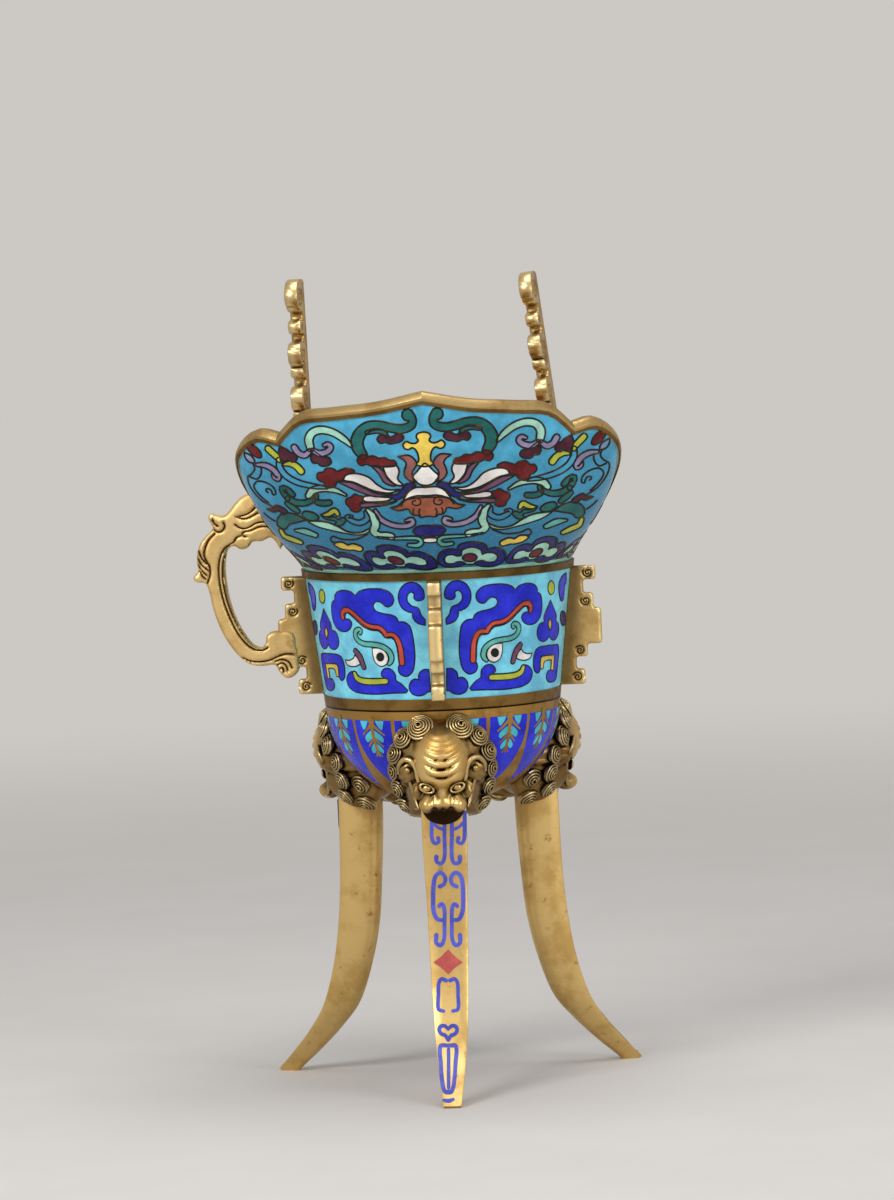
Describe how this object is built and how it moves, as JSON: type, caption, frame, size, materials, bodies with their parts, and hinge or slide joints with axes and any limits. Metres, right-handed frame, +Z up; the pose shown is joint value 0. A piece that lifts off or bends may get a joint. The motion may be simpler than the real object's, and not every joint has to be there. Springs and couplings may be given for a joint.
{
  "type": "jue wine vessel",
  "caption": "Cloisonne enamel jue: a tripod wine cup with a pointed tail, trough spout, dragon handle, stepped flanges, lion-mask legs and scrolled posts on the rim.",
  "frame": {"origin": "the cup's upright axis on the table", "axes": "+Z up along the cup's axis, -Y towards the pointed tail, +Y towards the spout, -X towards the dragon handle"},
  "size_m": [0.0941, 0.1308, 0.1773],
  "materials": {
    "gilt_bronze": "worn gilding",
    "copper": "bare copper, dulled",
    "turquoise_enamel": "polished opaque enamel with wire cells",
    "cobalt_enamel": "polished opaque enamel"
  },
  "bodies": {
    "root": {"mouth_body": "copper", "mouth_rim": "gilt_bronze", "neck_ring": "gilt_bronze", "band_body": "copper", "band_foot_ring": "gilt_bronze", "bowl": "gilt_bronze", "flange_tail": "gilt_bronze", "flange_spout": "gilt_bronze", "flange_handle": "gilt_bronze", "flange_plain": "gilt_bronze", "handle": "gilt_bronze", "handle_pin": "gilt_bronze", "post_handle_side": "gilt_bronze", "post_plain_side": "gilt_bronze", "lion_mask_tail": "gilt_bronze", "lion_mask_left": "gilt_bronze", "lion_mask_right": "gilt_bronze", "leg_tail": "gilt_bronze", "leg_left": "gilt_bronze", "leg_right": "gilt_bronze", "mask_rivets": "gilt_bronze", "leg_pins": "gilt_bronze", "mouth_enamel": "turquoise_enamel", "band_panel_tail_left": "turquoise_enamel", "band_panel_tail_right": "turquoise_enamel", "band_panel_spout_left": "turquoise_enamel", "band_panel_spout_right": "turquoise_enamel", "bowl_lappets": "cobalt_enamel"}
  },
  "joints": []
}
